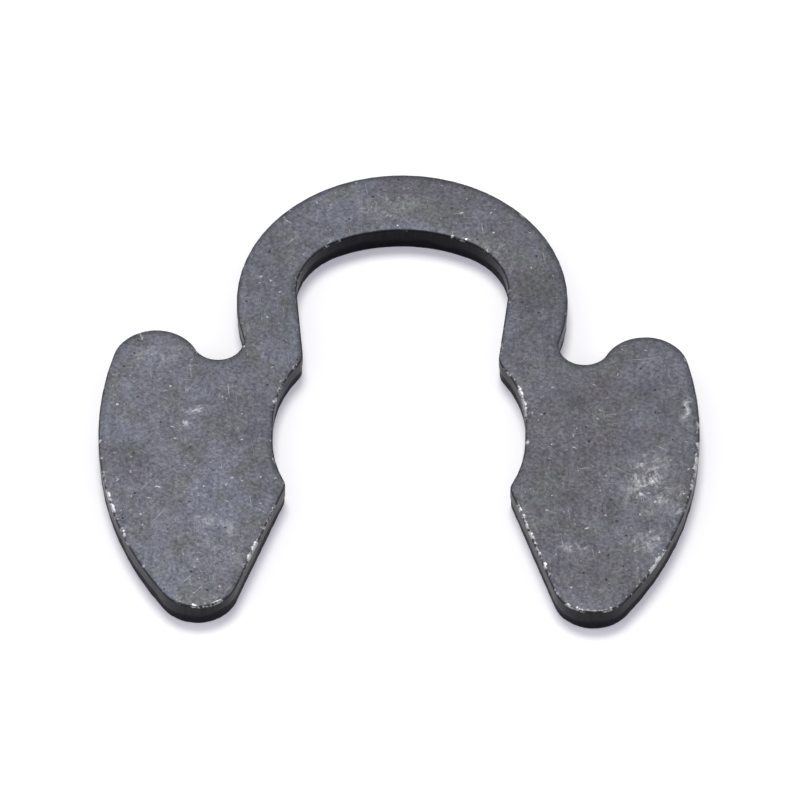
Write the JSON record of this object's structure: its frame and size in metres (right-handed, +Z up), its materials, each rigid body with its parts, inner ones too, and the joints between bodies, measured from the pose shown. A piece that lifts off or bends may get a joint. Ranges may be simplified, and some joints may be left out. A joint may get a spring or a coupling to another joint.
{
  "type": "retaining e-clip",
  "caption": "Flat spring-steel retaining clip: a round bow joins two rounded lobes whose inner points grip a grooved shaft pushed in through the open mouth.",
  "frame": {"origin": "on the shaft's axis, where the upper round end of the seat has its centre, on the clip's underside", "axes": "+Y from the mouth to the bow, +Z up through the sheet along the shaft, +X across the lobes"},
  "size_m": [0.013, 0.0123, 0.0006],
  "materials": {
    "blackened_steel": "matte black oxide, tumbled"
  },
  "bodies": {
    "root": {"e_clip": "blackened_steel"}
  },
  "joints": []
}
